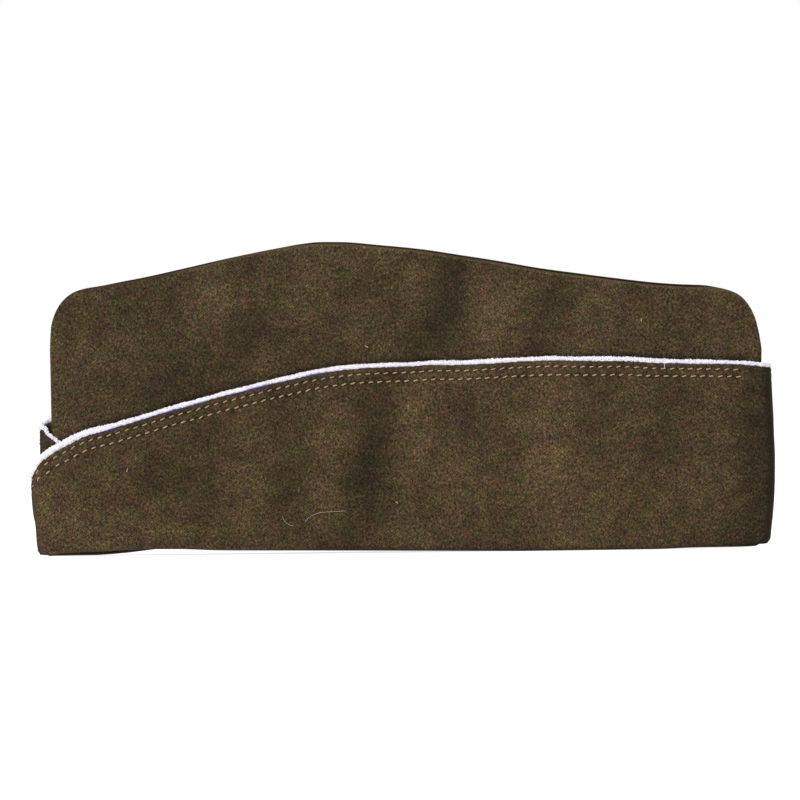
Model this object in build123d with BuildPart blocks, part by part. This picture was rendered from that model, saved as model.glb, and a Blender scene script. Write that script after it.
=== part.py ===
from build123d import *
from math import hypot, sqrt
import os

# A garrison cap (overseas cap, side cap) of olive-drab wool with white piping.
# Frame: origin at the centre of the head opening, on the plane of its bottom
# edge. +Z is up as worn, -Y is the front, +Y the back, +X the wearer's left.
# The cap is modelled folded flat, standing on the edge of its head opening.

# ---------------------------------------------------------------- dimensions
crown_front = -134.05      # centre of the front fold of the crown
crown_back = 137.05        # centre of the back fold of the crown
curtain_front = -138.3     # centre of the front fold of the turned-up curtain
curtain_back = 138.3       # centre of its back fold
fold_radius = 0.9          # inside radius of both folds, at the sweatband
mouth_half_gap = 11.0      # half of the gap between the sides, at the mouth
ridge_half_gap = 2.2       # the same at the ridge
loft_height = 125.0        # height at which ridge_half_gap holds
half_gap_at_fold = 0.3     # each side stops this far from the middle plane

sweatband = (0.0, 0.8)     # inside and outside offset of each layer
lining = (0.85, 1.1)
crown = (1.15, 2.45)
facing = (2.75, 3.55)
interlining = (3.6, 3.95)
curtain = (4.0, 5.3)
bead = (3.4, 5.7)
bead_core = (4.0, 5.1)
topstitch = (5.3, 5.65)
band_stitch = (-0.3, 0.0)
label_cloth = (0.6, 0.84)

bead_half = 1.15           # half the height of the piping bead
core_half = 0.55           # half the height of the cord inside it
seam_height = 1.2          # thickness of the curtain's turn at the mouth
layer_bottom = 1.3         # the inner layers stop on top of that turn
sweatband_height = 34.0
sweatband_row = 4.0        # height of the row of stitches that holds the band
thread = 0.5
upper_row = 2.0            # distance of the topstitch rows below the bead
lower_row = 5.5
flange_depth = 8.0         # how far the piping's flange reaches into the curtain
gusset_thickness = 1.2
gusset_flare = 1.7         # how far each half of the gusset leans out at the top
tape_half_width = 1.3

# the ridge, from front to back, as (y, z)
ridge = [(-139.0, 84.0), (-136.4, 91.0), (-132.6, 98.6), (-126.6, 103.3), (-117.0, 105.4), (-101.5, 108.3),
         (-85.8, 111.6), (-70.2, 115.0), (-54.6, 118.1), (-38.9, 120.7), (-27.0, 121.5), (-7.7, 120.0),
         (7.9, 118.2), (23.5, 115.8), (39.0, 113.2), (54.5, 110.4), (70.2, 108.0), (85.8, 105.9),
         (101.3, 104.0), (117.0, 102.8), (126.0, 101.4), (132.4, 98.6), (138.0, 91.4), (142.0, 82.0)]

# the centre line of the piping bead on each side, from front to back
edge_back = [(-90.3, 57.5), (-71.5, 62.5), (-52.8, 67.0), (-34.0, 71.0), (-15.2, 73.0), (3.5, 73.6), (22.2, 74.1),
             (50.2, 75.0), (69.0, 75.0), (87.7, 74.7), (106.4, 73.8), (125.2, 73.1), (139.0, 71.6), (150.0, 69.0)]
edge = {
    "left": [(-150.0, 23.0), (-144.7, 31.2), (-141.3, 37.6), (-138.1, 40.7), (-132.6, 44.2), (-123.2, 48.2),
             (-113.8, 50.8), (-104.4, 53.5)] + edge_back,
    "right": [(-150.0, 50.4), (-140.0, 50.2), (-128.0, 50.2), (-116.0, 51.2), (-104.4, 53.9)] + edge_back,
}

# the gusset folded down between the sides: its upper edge and its centre seam
gusset_edge = [(-126.0, 103.0), (-117.0, 105.0), (-101.5, 107.9), (-85.8, 111.2), (-70.2, 114.6), (-54.6, 117.7),
               (-38.9, 120.3), (-27.0, 121.1), (-7.7, 119.6), (7.9, 117.8), (23.5, 115.4), (39.0, 112.8),
               (54.5, 110.0), (70.2, 107.6), (85.8, 105.5), (101.3, 103.6), (117.0, 102.4), (124.0, 101.3)]
gusset_seam = [(-126.0, 101.0), (-110.0, 100.6), (-85.0, 99.4), (-55.0, 100.0), (-25.0, 100.0), (10.0, 96.2),
               (45.0, 92.8), (80.0, 93.0), (105.0, 96.4), (124.0, 99.4)]
lining_top = [(-150.0, 82.0), (-128.0, 92.0), (-110.0, 96.0), (-85.0, 96.0), (-55.0, 96.6), (-25.0, 96.6),
              (10.0, 92.6), (45.0, 89.2), (80.0, 89.4), (105.0, 91.6), (126.0, 91.0), (150.0, 82.0)]


def ring_points(front, back, z, offset):
    """Points of one side's plan curve at a height: fold arc, long arc, fold arc."""
    s = mouth_half_gap + (ridge_half_gap - mouth_half_gap) * z / loft_height
    half, mid = (back - front) / 2, (back + front) / 2
    radius = (s * s + half * half - fold_radius ** 2) / (2 * (s - fold_radius))
    cx = s - radius
    k = fold_radius + offset
    run = hypot(cx, half)
    nx, ny = -cx / run, half / run
    tip = sqrt(k * k - half_gap_at_fold ** 2)
    g = half_gap_at_fold
    corner = hypot(nx * k + g, ny * k + tip)
    mx, my = (nx * k + g) / corner * k, (ny * k + tip) / corner * k
    return [(g, front - tip), (mx, front - my), (nx * k, front - ny * k), (s + offset, mid),
            (nx * k, back + ny * k), (mx, back + my), (g, back + tip)]


def raised(points, dz):
    return [(y, z + dz) for y, z in points]


os.makedirs("parts", exist_ok=True)

# ------------------------------------------------- crown sides, lining, sweatband
with BuildPart() as crown_side_left:
    for z in (0, loft_height):
        with BuildSketch(Plane.XY.offset(z)):
            with BuildLine():
                o = ring_points(crown_front, crown_back, z, crown[1])
                i = ring_points(crown_front, crown_back, z, crown[0])
                ThreePointArc(*o[0:3])
                ThreePointArc(*o[2:5])
                ThreePointArc(*o[4:7])
                Line(o[6], i[6])
                ThreePointArc(*i[4:7])
                ThreePointArc(*i[2:5])
                ThreePointArc(*i[0:3])
                Line(i[0], o[0])
            make_face()
    loft(ruled=True)
    with BuildSketch(Plane.YZ):
        with BuildLine():
            Spline(*ridge)
            Polyline(ridge[-1], (150, 82), (150, layer_bottom), (-150, layer_bottom), (-150, 84), ridge[0])
        make_face()
    extrude(amount=40, mode=Mode.INTERSECT)
crown_side_left.part.label = "crown_side_left"
export_step(crown_side_left.part, "parts/crown_side_left.step")

with BuildPart() as crown_side_right:
    mirror(crown_side_left.part, about=Plane.YZ)
crown_side_right.part.label = "crown_side_right"
export_step(crown_side_right.part, "parts/crown_side_right.step")

with BuildPart() as lining_left:
    for z in (0, loft_height):
        with BuildSketch(Plane.XY.offset(z)):
            with BuildLine():
                o = ring_points(crown_front, crown_back, z, lining[1])
                i = ring_points(crown_front, crown_back, z, lining[0])
                ThreePointArc(*o[0:3])
                ThreePointArc(*o[2:5])
                ThreePointArc(*o[4:7])
                Line(o[6], i[6])
                ThreePointArc(*i[4:7])
                ThreePointArc(*i[2:5])
                ThreePointArc(*i[0:3])
                Line(i[0], o[0])
            make_face()
    loft(ruled=True)
    with BuildSketch(Plane.YZ):
        with BuildLine():
            Spline(*lining_top)
            Polyline(lining_top[-1], (150, layer_bottom), (-150, layer_bottom), lining_top[0])
        make_face()
    extrude(amount=40, mode=Mode.INTERSECT)
lining_left.part.label = "lining_left"
export_step(lining_left.part, "parts/lining_left.step")

with BuildPart() as lining_right:
    mirror(lining_left.part, about=Plane.YZ)
lining_right.part.label = "lining_right"
export_step(lining_right.part, "parts/lining_right.step")

with BuildPart() as sweatband_left:
    for z in (0, loft_height):
        with BuildSketch(Plane.XY.offset(z)):
            with BuildLine():
                o = ring_points(crown_front, crown_back, z, sweatband[1])
                i = ring_points(crown_front, crown_back, z, sweatband[0])
                ThreePointArc(*o[0:3])
                ThreePointArc(*o[2:5])
                ThreePointArc(*o[4:7])
                Line(o[6], i[6])
                ThreePointArc(*i[4:7])
                ThreePointArc(*i[2:5])
                ThreePointArc(*i[0:3])
                Line(i[0], o[0])
            make_face()
    loft(ruled=True)
    with BuildSketch(Plane.YZ):
        with Locations((0, (layer_bottom + sweatband_height) / 2)):
            Rectangle(300, sweatband_height - layer_bottom)
    extrude(amount=40, mode=Mode.INTERSECT)
sweatband_left.part.label = "sweatband_left"
export_step(sweatband_left.part, "parts/sweatband_left.step")

with BuildPart() as sweatband_right:
    mirror(sweatband_left.part, about=Plane.YZ)
sweatband_right.part.label = "sweatband_right"
export_step(sweatband_right.part, "parts/sweatband_right.step")

with BuildPart() as sweatband_stitch_left:
    for z in (0, loft_height):
        with BuildSketch(Plane.XY.offset(z)):
            with BuildLine():
                o = ring_points(crown_front, crown_back, z, band_stitch[1])
                i = ring_points(crown_front, crown_back, z, band_stitch[0])
                ThreePointArc(*o[0:3])
                ThreePointArc(*o[2:5])
                ThreePointArc(*o[4:7])
                Line(o[6], i[6])
                ThreePointArc(*i[4:7])
                ThreePointArc(*i[2:5])
                ThreePointArc(*i[0:3])
                Line(i[0], o[0])
            make_face()
    loft(ruled=True)
    with BuildSketch(Plane.YZ):
        with Locations((0, sweatband_row)):
            Rectangle(300, thread)
    extrude(amount=40, mode=Mode.INTERSECT)
sweatband_stitch_left.part.label = "sweatband_stitch_left"
export_step(sweatband_stitch_left.part, "parts/sweatband_stitch_left.step")

with BuildPart() as sweatband_stitch_right:
    mirror(sweatband_stitch_left.part, about=Plane.YZ)
sweatband_stitch_right.part.label = "sweatband_stitch_right"
export_step(sweatband_stitch_right.part, "parts/sweatband_stitch_right.step")

# the blank size label, sewn to the right lining above the sweatband
with BuildPart() as label_blank:
    for z in (0, loft_height):
        with BuildSketch(Plane.XY.offset(z)):
            with BuildLine():
                o = ring_points(crown_front, crown_back, z, label_cloth[1])
                i = ring_points(crown_front, crown_back, z, label_cloth[0])
                ThreePointArc(*o[0:3])
                ThreePointArc(*o[2:5])
                ThreePointArc(*o[4:7])
                Line(o[6], i[6])
                ThreePointArc(*i[4:7])
                ThreePointArc(*i[2:5])
                ThreePointArc(*i[0:3])
                Line(i[0], o[0])
            make_face()
    loft(ruled=True)
    with BuildSketch(Plane.YZ):
        with Locations((76, 47)):
            RectangleRounded(28, 14, 1)
    extrude(amount=40, mode=Mode.INTERSECT)

with BuildPart() as size_label:
    mirror(label_blank.part, about=Plane.YZ)
size_label.part.label = "size_label"
export_step(size_label.part, "parts/size_label.step")

# ------------------------------------------------------ gusset of the crown's top
with BuildPart() as crown_top_left:
    for z in (90, loft_height):
        lean = gusset_flare * (z - 90) / (loft_height - 90)
        with BuildSketch(Plane.XY.offset(z)):
            with BuildLine():
                ThreePointArc((0.02, -130), (0.02 + lean + 0.001, 0), (0.02, 130))
                Line((0.02, 130), (0.02 + gusset_thickness, 130))
                ThreePointArc((0.02 + gusset_thickness, 130), (0.021 + lean + gusset_thickness, 0),
                              (0.02 + gusset_thickness, -130))
                Line((0.02 + gusset_thickness, -130), (0.02, -130))
            make_face()
    loft(ruled=True)
    with BuildSketch(Plane.YZ):
        with BuildLine():
            Spline(*gusset_edge)
            Line(gusset_edge[-1], gusset_seam[-1])
            Spline(*gusset_seam[::-1])
            Line(gusset_seam[0], gusset_edge[0])
        make_face()
    extrude(amount=40, mode=Mode.INTERSECT)
crown_top_left.part.label = "crown_top_left"
export_step(crown_top_left.part, "parts/crown_top_left.step")

with BuildPart() as crown_top_right:
    mirror(crown_top_left.part, about=Plane.YZ)
crown_top_right.part.label = "crown_top_right"
export_step(crown_top_right.part, "parts/crown_top_right.step")

# the tape that covers the gusset's centre seam from below
with BuildPart() as crown_top_seam_tape:
    with BuildSketch(Plane.YZ):
        with BuildLine():
            top = raised(gusset_seam[1:-1], -0.1)
            low = raised(gusset_seam[1:-1], -0.6)
            Spline(*top)
            Line(top[-1], low[-1])
            Spline(*low[::-1])
            Line(low[0], top[0])
        make_face()
    extrude(amount=tape_half_width, both=True)
crown_top_seam_tape.part.label = "crown_top_seam_tape"
export_step(crown_top_seam_tape.part, "parts/crown_top_seam_tape.step")

# ------------------------------------------- turned-up curtain, one side at a time
for side in ("left", "right"):
    line = edge[side]
    # each layer of the curtain: name, offsets, lower edge, upper edge
    layers = [
        ("curtain_facing", facing, None, raised(line, -bead_half)),
        ("curtain_interlining", interlining, None, raised(line, -bead_half - flange_depth - 0.4)),
        ("piping_flange", interlining, raised(line, -bead_half - flange_depth), raised(line, -bead_half)),
        ("curtain_outer", curtain, None, raised(line, -bead_half)),
        ("piping", bead, raised(line, -bead_half), raised(line, bead_half)),
        ("piping_cord", bead_core, raised(line, -core_half), raised(line, core_half)),
        ("topstitch_upper", topstitch, raised(line, -bead_half - upper_row - thread / 2),
         raised(line, -bead_half - upper_row + thread / 2)),
        ("topstitch_lower", topstitch, raised(line, -bead_half - lower_row - thread / 2),
         raised(line, -bead_half - lower_row + thread / 2)),
    ]
    made = {}
    for name, (inside, outside), low, high in layers:
        bottom = 0 if name == "curtain_outer" else layer_bottom
        with BuildPart() as layer:
            for z in (0, loft_height):
                with BuildSketch(Plane.XY.offset(z)):
                    with BuildLine():
                        o = ring_points(curtain_front, curtain_back, z, outside)
                        i = ring_points(curtain_front, curtain_back, z, inside)
                        ThreePointArc(*o[0:3])
                        ThreePointArc(*o[2:5])
                        ThreePointArc(*o[4:7])
                        Line(o[6], i[6])
                        ThreePointArc(*i[4:7])
                        ThreePointArc(*i[2:5])
                        ThreePointArc(*i[0:3])
                        Line(i[0], o[0])
                    make_face()
            loft(ruled=True)
            with BuildSketch(Plane.YZ):
                with BuildLine():
                    Spline(*high)
                    if low:
                        Line(high[-1], low[-1])
                        Spline(*low[::-1])
                        Line(low[0], high[0])
                    else:
                        Polyline(high[-1], (150, bottom), (-150, bottom), high[0])
                make_face()
            extrude(amount=40, mode=Mode.INTERSECT)
        made[name] = layer.part

    for name in made:
        with BuildPart() as piece:
            add(made[name])
            if name == "piping":
                add(made["piping_cord"], mode=Mode.SUBTRACT)
            if name == "curtain_outer":
                # the turn at the mouth, under the crown and the inner layers
                with BuildSketch():
                    with BuildLine():
                        o = ring_points(curtain_front, curtain_back, 0, 4.6)
                        i = ring_points(curtain_front, curtain_back, 0, 1.2)
                        ThreePointArc(*o[0:3])
                        ThreePointArc(*o[2:5])
                        ThreePointArc(*o[4:7])
                        Line(o[6], i[6])
                        ThreePointArc(*i[4:7])
                        ThreePointArc(*i[2:5])
                        ThreePointArc(*i[0:3])
                        Line(i[0], o[0])
                    make_face()
                extrude(amount=seam_height)
        with BuildPart() as sided:
            if side == "left":
                add(piece.part)
            else:
                mirror(piece.part, about=Plane.YZ)
        sided.part.label = f"{name}_{side}"
        export_step(sided.part, f"parts/{name}_{side}.step")
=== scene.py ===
"""A fold-flat garrison cap of olive-drab wool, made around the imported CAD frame. Metres, +Z up, -Y the front, +X the wearer's left."""
import math

import bmesh
import bpy
import numpy as np
from mathutils import Matrix, Vector


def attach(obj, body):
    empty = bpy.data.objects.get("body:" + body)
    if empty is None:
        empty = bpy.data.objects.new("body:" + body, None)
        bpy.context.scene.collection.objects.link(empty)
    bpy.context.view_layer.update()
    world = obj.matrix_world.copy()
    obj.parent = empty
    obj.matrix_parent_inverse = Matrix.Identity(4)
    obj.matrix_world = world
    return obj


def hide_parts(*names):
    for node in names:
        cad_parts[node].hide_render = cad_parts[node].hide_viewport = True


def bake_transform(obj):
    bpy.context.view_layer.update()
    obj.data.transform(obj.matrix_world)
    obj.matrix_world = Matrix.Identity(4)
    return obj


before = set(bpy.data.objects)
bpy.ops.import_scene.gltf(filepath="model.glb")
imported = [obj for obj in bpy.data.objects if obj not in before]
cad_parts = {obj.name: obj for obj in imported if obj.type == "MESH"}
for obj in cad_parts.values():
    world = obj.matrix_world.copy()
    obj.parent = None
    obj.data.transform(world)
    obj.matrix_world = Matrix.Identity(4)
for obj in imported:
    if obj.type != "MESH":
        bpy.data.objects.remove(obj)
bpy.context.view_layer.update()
MM = 0.001
rng = np.random.default_rng(11)

# ------------------------------------------------------------------ helpers


def smooth(a, b, x):
    t = np.clip((np.asarray(x, float) - a) / (b - a), 0, 1)
    return t * t * (3 - 2 * t)


def curve(points):
    """A smooth curve through (x, y) points (monotone cubic), as a function."""
    p = np.array(points, float)
    x, y = p[:, 0], p[:, 1]
    h = np.diff(x)
    s = np.diff(y) / h
    m = np.zeros(len(x))
    m[0], m[-1] = s[0], s[-1]
    for i in range(1, len(x) - 1):
        if s[i - 1] * s[i] > 0:
            w1, w2 = 2 * h[i] + h[i - 1], h[i] + 2 * h[i - 1]
            m[i] = (w1 + w2) / (w1 / s[i - 1] + w2 / s[i])

    def f(q):
        q = np.clip(np.asarray(q, float), x[0], x[-1])
        i = np.clip(np.searchsorted(x, q) - 1, 0, len(h) - 1)
        t = (q - x[i]) / h[i]
        return (
            (1 + 2 * t) * (1 - t) ** 2 * y[i]
            + t * (1 - t) ** 2 * h[i] * m[i]
            + t * t * (3 - 2 * t) * y[i + 1]
            + t * t * (t - 1) * h[i] * m[i + 1]
        )

    return f


def waves(seed, n, lo, hi):
    """A smooth random field of (a, b) in mm with wavelengths from lo to hi, about -1 to 1."""
    r = np.random.default_rng(seed)
    k = 2 * np.pi / r.uniform(lo, hi, n)
    ang = r.uniform(0, 2 * np.pi, n)
    ph = r.uniform(0, 2 * np.pi, n)
    kx, ky = k * np.cos(ang), k * np.sin(ang)

    def f(a, b):
        a, b = np.asarray(a, float), np.asarray(b, float)
        out = 0
        for i in range(n):
            out = out + np.sin(kx[i] * a + ky[i] * b + ph[i])
        return out / math.sqrt(n) * 0.8

    return f


# ------------------------------------------------------- the shape of the cap, in mm
R0 = 0.9
RINGS = {
    "crown": {"front": -134.05, "back": 137.05, "arc": 4.1},
    "curtain": {"front": -138.3, "back": 138.3, "arc": 8.8},
}
for r in RINGS.values():
    r["half"] = (r["back"] - r["front"]) / 2
    r["mid"] = (r["back"] + r["front"]) / 2
    r["long"] = 2 * r["half"] * 1.005
    r["total"] = 2 * r["arc"] + r["long"]


def ring(name, t, z, d):
    """A point of a ring: t mm along it from the front fold (below 0 it is round on the other side), z up, d out from the inside surface."""
    r = RINGS[name]
    t, z, d = np.broadcast_arrays(*(np.asarray(v, float) for v in (t, z, d)))
    a = np.abs(t)
    sign = np.where(t < 0, -1.0, 1.0)
    over = a > r["total"]
    a = np.where(over, 2 * r["total"] - a, a)
    sign = np.where(over, -sign, sign)
    s = 11.0 - 8.8 * z / 125.0
    half, mid = r["half"], r["mid"]
    big = (s * s + half * half - R0 * R0) / (2 * (s - R0))
    cx = s - big
    run = np.hypot(cx, half)
    nx, ny = -cx / run, half / run
    phi1 = np.arctan2(nx, ny)
    # front fold
    pf = phi1 * np.clip(a / r["arc"], 0, 1)
    xf, yf = (R0 + d) * np.sin(pf), r["front"] - (R0 + d) * np.cos(pf)
    # long side
    g = np.clip(-1 + 2 * (a - r["arc"]) / r["long"], -1, 1)
    psi = np.arcsin(g * ny)
    xl, yl = cx + (big + d) * np.cos(psi), mid + (big + d) * np.sin(psi)
    # back fold
    pb = phi1 * np.clip((r["total"] - a) / r["arc"], 0, 1)
    xb, yb = (R0 + d) * np.sin(pb), r["back"] + (R0 + d) * np.cos(pb)
    first, last = a < r["arc"], a > r["arc"] + r["long"]
    x = np.where(first, xf, np.where(last, xb, xl))
    y = np.where(first, yf, np.where(last, yb, yl))
    # the ends aren't quite upright: the curtain bellies out and draws in at the mouth
    front, back = ENDS[name]
    y = y + front(z) * (1 - smooth(-140, -100, y)) + back(z) * smooth(98, 139, y)
    return np.stack([x * sign, y, z], -1)


ENDS = {
    "crown": (curve([(0, 0), (50, -0.2), (80, -0.45), (92, -0.75), (125, -0.8)]), curve([(0, 0), (50, 0.3), (75, 1.1), (92, 1.45), (125, 1.3)])),
    "curtain": (curve([(0, 1.2), (2, 1.15), (5, 0.8), (12.5, 0.3), (16, -0.4), (20.5, -0.85), (27, -1.15), (32, -0.6), (37, -0.1), (60, 0.0)]),
                curve([(0, -0.6), (5, -0.35), (12.5, 0.5), (20.5, 1.2), (28, 1.5), (36, 1.6), (44, 1.35), (52, 1.15), (60, 0.8), (70, 0.5), (80, 0.4)])),
}


def y_of(name, t, d=3.0):
    return ring(name, t, 40.0, d)[..., 1]


RIDGE_POINTS = [(-142, 60), (-137.4, 80), (-136.4, 90), (-134.6, 95.5), (-132.4, 99), (-129.7, 101.6), (-126.5, 103.4),
               (-122.6, 104.5), (-117, 105.4), (-109.3, 106.9), (-101.5, 108.3), (-85.8, 111.6), (-70.2, 115), (-54.6, 118.1),
               (-46.7, 119.5), (-38.9, 120.8), (-31, 121.5), (-23.3, 121.4), (-7.7, 120), (7.9, 118.3), (23.5, 115.8),
               (39, 113.2), (54.5, 110.3), (70.2, 108), (85.8, 105.8), (101.3, 103.9), (110, 103.2), (118, 102.8), (124.7, 101.6),
               (128.5, 100.5), (132.2, 98.4), (135.3, 94.8), (138.0, 89.0), (139.6, 82), (143.0, 60)]
RIDGE = curve([(y, z + 0.42) for y, z in RIDGE_POINTS])
# how far the near ridge lies below the far one
NEAR_DROP = curve([(-150, 0.0), (-122, 0.15), (-107, 0.7), (-90, 0.85), (-74, 0.8), (-60, 0.5), (-45, 0.55), (-36, 0.85),
                   (20, 0.95), (60, 1.1), (112, 1.1), (124, 0.5), (132, 0.1), (150, 0.0)])
EDGE_BACK = [(-104.4, 53.4), (-90.3, 57.5), (-80.9, 59.9), (-71.5, 62.5), (-62.1, 64.7), (-52.8, 67.0), (-43.4, 69.0),
             (-34.0, 71.0), (-24.6, 72.3), (-15.2, 73.1), (-5.9, 73.4), (3.5, 73.6), (12.9, 74.1), (22.2, 74.0), (31.6, 74.3),
             (50.2, 75.1), (59.6, 75.3), (69.0, 75.0), (87.7, 74.7), (97.0, 74.0), (106.4, 73.6), (125.2, 73.1),
             (134.5, 72.7), (139.2, 72.3), (146.0, 71.4)]
EDGE_L = curve([(-145.6, 29.0), (-144.75, 31.2), (-143.6, 34.0), (-142.4, 36.3), (-141.3, 38.2), (-139.7, 39.7), (-138.1, 40.8),
                (-136.5, 41.9), (-135.0, 42.8), (-132.6, 44.0), (-127.9, 46.4), (-123.2, 48.3), (-118.5, 49.6), (-113.8, 50.7),
                (-109.1, 52.1)] + EDGE_BACK)
EDGE_R = curve([(-146.0, 49.4), (-144.0, 50.4), (-141.0, 52.2), (-138.0, 53.3), (-128.0, 53.7), (-116.0, 53.8), (-104.4, 54.6)] + EDGE_BACK[1:])
BOTTOM_L = curve([(-146, 0.5), (-139.5, 0.6), (-134.4, 1.4), (-125.8, 1.9), (-113.3, 2.3), (-98.5, 2.7), (-86.8, 2.6),
                  (-71.2, 2.0), (-40, 1.6), (-1, 1.1), (38, 0.5), (77, 0.05), (92.6, 0.15), (100.4, 0.4), (116, 0.8),
                  (131.6, 0.8), (139.4, 1.0), (141.8, 1.9), (143.5, 3.6), (146, 6.0)])
BOTTOM_R = curve([(-146, 0.3), (-133, 0.1), (-125.8, 0.2), (-118, 0.5), (-110, 1.0), (-102, 1.8), (-95, 2.5), (-87, 2.7), (-71, 2.1),
                  (-40, 1.7), (0, 1.2), (38, 0.6), (77, 0.1), (100, 0.4), (120, 0.8), (139.4, 1.0), (141.8, 1.9), (143.5, 3.6),
                  (146, 6.0)])
TOTAL = RINGS["curtain"]["total"]
ARC = RINGS["curtain"]["arc"]


def edge_z(side, t):
    """Height of the piping's centre line on a side's curtain. Below t 0 it runs down the lap on the other side."""
    t = np.asarray(t, float)
    y = y_of("curtain", np.abs(t), 4.6)
    if side > 0:
        own = EDGE_L(y) - 1.1 * (1 - smooth(0, 5, t))
        lap = LAP_L(-t)
    else:
        own = EDGE_R(y)
        lap = LAP_R(y)
    return np.where(t >= 0, own, lap) - 0.32


LAP_L = curve([(0, 32.4), (3, 29.3), (9, 21.2), (16, 11.6), (22, 4.6), (25.5, 1.8), (30, -1.0)])
LAP_R = curve([(-146, 50.6), (-141.4, 50.5), (-140.0, 49.0), (-138.4, 47.7), (-135.7, 45.6), (-133.8, 44.3), (-131.0, 42.0),
               (-126, 37.5), (-118, 27), (-108, 12), (-100, 0)])


def bottom_z(side, t):
    y = y_of("curtain", np.abs(t), 4.6)
    own, other = (BOTTOM_L, BOTTOM_R) if side > 0 else (BOTTOM_R, BOTTOM_L)
    return np.where(np.asarray(t) >= 0, own(y), np.minimum(own(y), other(y) + 0.2))


# soft rises and hollows of the cloth: (y, z, half length, half width, tilt in degrees, height)
RELIEF_L = [
    (-98, 100, 13, 9, 20, 0.5), (-70, 84, 20, 7, 62, -0.8), (-88, 86, 14, 9, 60, 0.7), (-50, 92, 20, 9, 70, 0.65),
    (-84, 66, 14, 6, 50, -0.4), (-20, 104, 12, 10, 10, -0.35), (0, 102, 13, 10, 95, 0.7), (12, 96, 20, 6, 80, -0.85),
    (30, 98, 17, 9, 85, 0.7), (2, 82, 12, 7, 60, -0.4), (57, 98, 10, 8, 70, -0.45), (44, 90, 12, 8, 60, -0.4), (72, 92, 12, 10, 80, 0.6),
    (86, 96, 10, 7, 70, -0.45), (104, 88, 14, 10, 80, 0.4), (-118, 78, 14, 9, 80, 0.35), (-30, 88, 12, 9, 80, -0.3),
    (-100, 30, 20, 9, 48, 0.7), (-86, 26, 18, 7, 50, -0.7), (-62, 32, 16, 9, 60, 0.6), (-48, 20, 18, 7, 55, -0.7),
    (-12, 44, 22, 7, 78, -0.9), (-20, 22, 14, 8, 60, -0.6), (-32, 46, 18, 8, 80, 0.5), (4, 50, 18, 9, 80, 0.75),
    (18, 58, 12, 6, 70, -0.5), (12, 22, 14, 8, 80, -0.5), (30, 36, 18, 9, 85, 0.5), (56, 36, 26, 10, 88, 0.75),
    (76, 46, 20, 7, 85, -0.8), (92, 38, 18, 10, 80, 0.5), (112, 30, 16, 8, 75, -0.4), (-122, 20, 16, 9, 80, 0.45),
    (124, 46, 16, 6, 85, -0.35),
]
rnd = np.random.default_rng(5)
RELIEF_R = [
    (y + rnd.uniform(-4, 4), z + rnd.uniform(-3, 3), a * rnd.uniform(0.9, 1.2), b * rnd.uniform(0.9, 1.2), 180 - tilt + rnd.uniform(-15, 15),
     h * rnd.uniform(0.6, 1.0))
    for y, z, a, b, tilt, h in [(-0.9 * q[0], *q[1:]) for q in RELIEF_L]
]
fine_l, fine_r = waves(21, 14, 9, 26), waves(22, 14, 9, 26)


def relief(side, y, z):
    """How far the cloth of a side stands out from its plain shape, in mm, the same for every layer of that side."""
    out = 0.0
    for cy, cz, a, b, tilt, h in RELIEF_L if side > 0 else RELIEF_R:
        c, s = math.cos(math.radians(tilt)), math.sin(math.radians(tilt))
        u, v = (y - cy) * c + (z - cz) * s, -(y - cy) * s + (z - cz) * c
        out = out + h * np.exp(-0.5 * ((u / a) ** 2 + (v / b) ** 2))
    out = out + 0.07 * (fine_l if side > 0 else fine_r)(y, z)
    top = RIDGE(y)
    return out * smooth(-141, -118, y) * (1 - smooth(120, 141, y)) * (1 - smooth(top - 12, top - 2, z)) * (0.35 + 0.65 * smooth(0, 14, z))


# -------------------------------------------------------------------- meshes
CUT = -28.0  # the sides are split across the fold line here, and bend to the front and to the back of it
SIDES = {1: "left", -1: "right"}


def new_object(name, verts, faces, loop_normals=None, uvs=None, attrs=None, smooth_faces=True):
    me = bpy.data.meshes.new(name)
    verts = np.asarray(verts, np.float64) * MM
    me.from_pydata(verts.tolist(), [], faces)
    if smooth_faces:
        me.polygons.foreach_set("use_smooth", np.ones(len(me.polygons), bool))
    if uvs is not None:
        layer = me.uv_layers.new(name="cloth")
        layer.data.foreach_set("uv", np.asarray(uvs, np.float32).ravel())
    for key, values in (attrs or {}).items():
        at = me.attributes.new(key, "FLOAT", "POINT")
        at.data.foreach_set("value", np.asarray(values, np.float32))
    if loop_normals is not None:
        me.normals_split_custom_set(np.asarray(loop_normals, float).tolist())
    me.update()
    ob = bpy.data.objects.new(name, me)
    bpy.context.scene.collection.objects.link(ob)
    return ob


def grid_normals(p):
    """Normals of a closed-loop strip of points p[column, row, 3], for all but the first and last column."""
    du = p[2:] - p[:-2]
    dv = np.roll(p[1:-1], -1, 1) - np.roll(p[1:-1], 1, 1)
    n = np.cross(du, dv)
    return n / np.maximum(np.linalg.norm(n, axis=-1, keepdims=True), 1e-12)


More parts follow.
